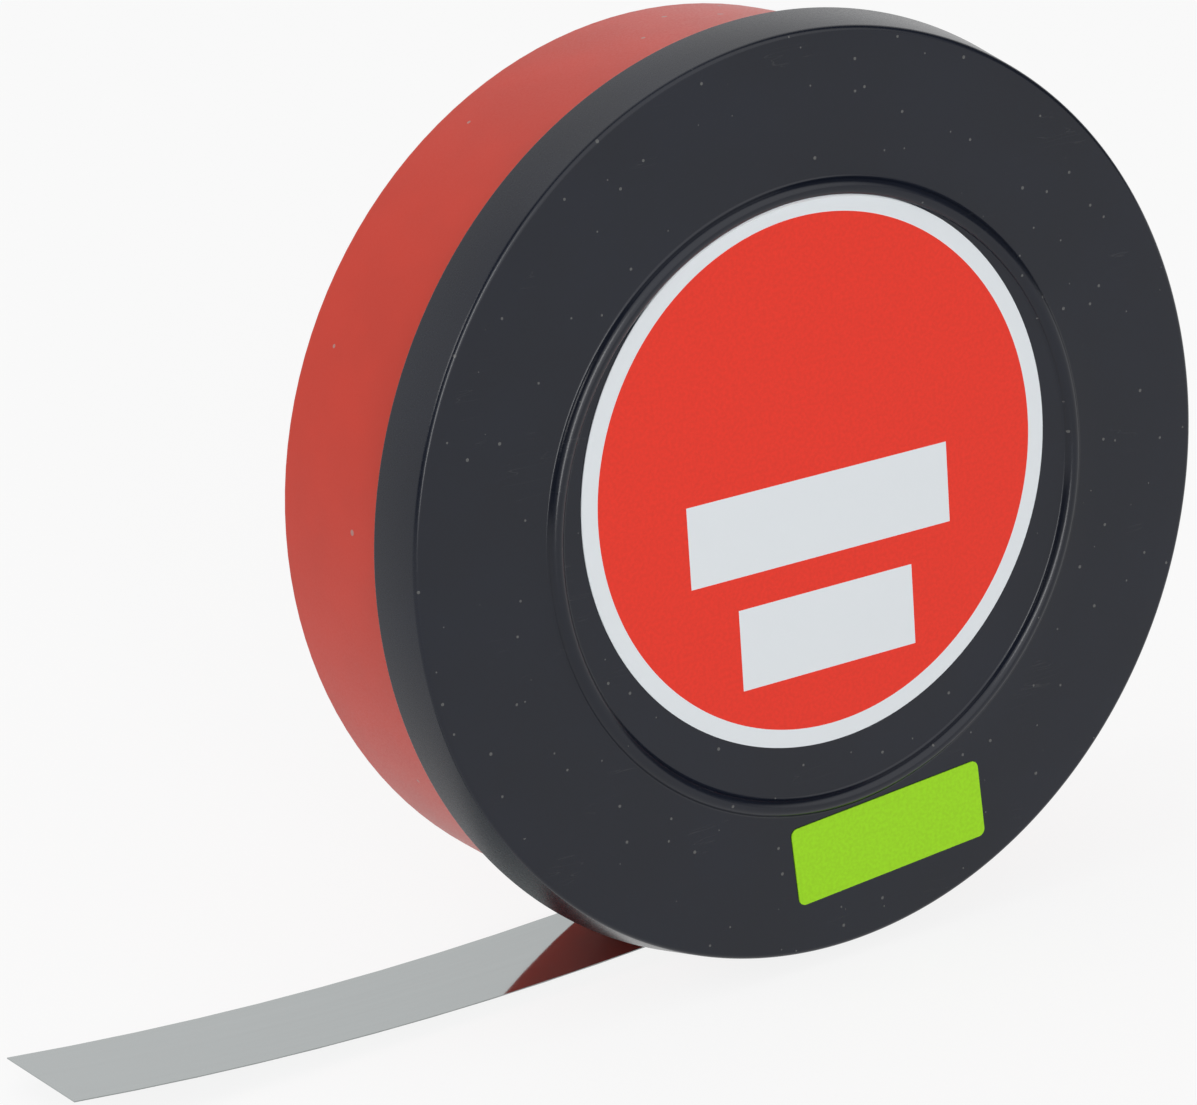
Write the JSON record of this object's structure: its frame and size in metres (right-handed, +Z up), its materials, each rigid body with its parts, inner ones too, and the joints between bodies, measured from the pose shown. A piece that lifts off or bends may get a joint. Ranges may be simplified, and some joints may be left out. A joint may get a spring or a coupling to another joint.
{
  "type": "shim stock roll in a dispenser can",
  "caption": "Coil of thin polished steel shim band in a round red plastic can with a black press-on lid, its end drawn out through a slot.",
  "frame": {"origin": "middle of the object's footprint on the floor, with the can standing on its rims and the band's tail lying out", "axes": "+Z up, +X from the tail's end towards the can, +Y from the lid's face towards the can's back"},
  "size_m": [0.1182, 0.0328, 0.0864],
  "materials": {
    "red_plastic": "satin",
    "black_plastic": "satin",
    "spring_steel": "polished",
    "label_paper": "satin",
    "sticker_paper": "matte"
  },
  "bodies": {
    "can": {"can_body": "red_plastic", "shim_band": "spring_steel"},
    "lid": {"lid": "black_plastic", "face_label": "label_paper", "sticker": "sticker_paper"}
  },
  "joints": [
    {"name": "lid_lift", "type": "slide", "parent": "can", "child": "lid", "axis": [0, -0.9945, 0.105], "range_m": [0, 0.03]}
  ]
}
